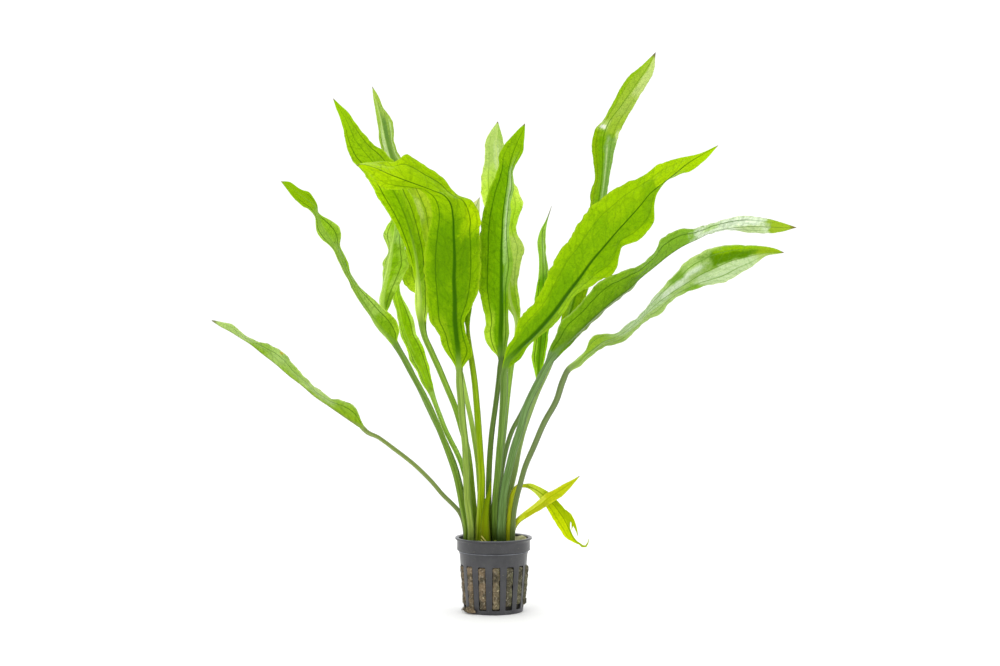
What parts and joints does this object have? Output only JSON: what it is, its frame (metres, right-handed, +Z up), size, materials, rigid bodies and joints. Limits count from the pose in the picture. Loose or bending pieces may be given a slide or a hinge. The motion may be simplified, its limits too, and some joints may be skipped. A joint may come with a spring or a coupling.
{
  "type": "potted amazon sword plant",
  "caption": "Rosette aquarium plant with long-stalked lance-shaped leaves, rooted in mineral wool in a small slotted net pot.",
  "frame": {"origin": "centre of the pot's flat underside, on the surface it stands on", "axes": "+Z up along the pot's axis; the leaves spread widest along X; the front is towards -Y"},
  "size_m": [0.423, 0.143, 0.4145],
  "materials": {
    "pot_plastic": "satin",
    "wool": "matte",
    "rootstock": "satin",
    "leaf_green": "gloss",
    "leaf_dark_green": "gloss",
    "leaf_yellow_green": "satin"
  },
  "bodies": {
    "root": {"net_pot": "pot_plastic", "mineral_wool": "wool", "crown": "rootstock", "leaf_front_left": "leaf_green", "leaf_twisted_left": "leaf_green", "leaf_low_left": "leaf_green", "leaf_tall_left": "leaf_green", "leaf_rolled_back_left": "leaf_green", "leaf_curled_back_left": "leaf_green", "leaf_short_back_left": "leaf_green", "leaf_hidden_centre": "leaf_green", "leaf_pale_back": "leaf_green", "leaf_slender_back_right": "leaf_green", "leaf_tallest_right": "leaf_green", "leaf_big_right": "leaf_green", "leaf_arching_right": "leaf_green", "leaf_low_right": "leaf_green", "leaf_dark_centre": "leaf_dark_green", "leaf_small_straight": "leaf_yellow_green", "leaf_small_torn": "leaf_yellow_green", "young_shoot": "leaf_yellow_green"}
  },
  "joints": []
}
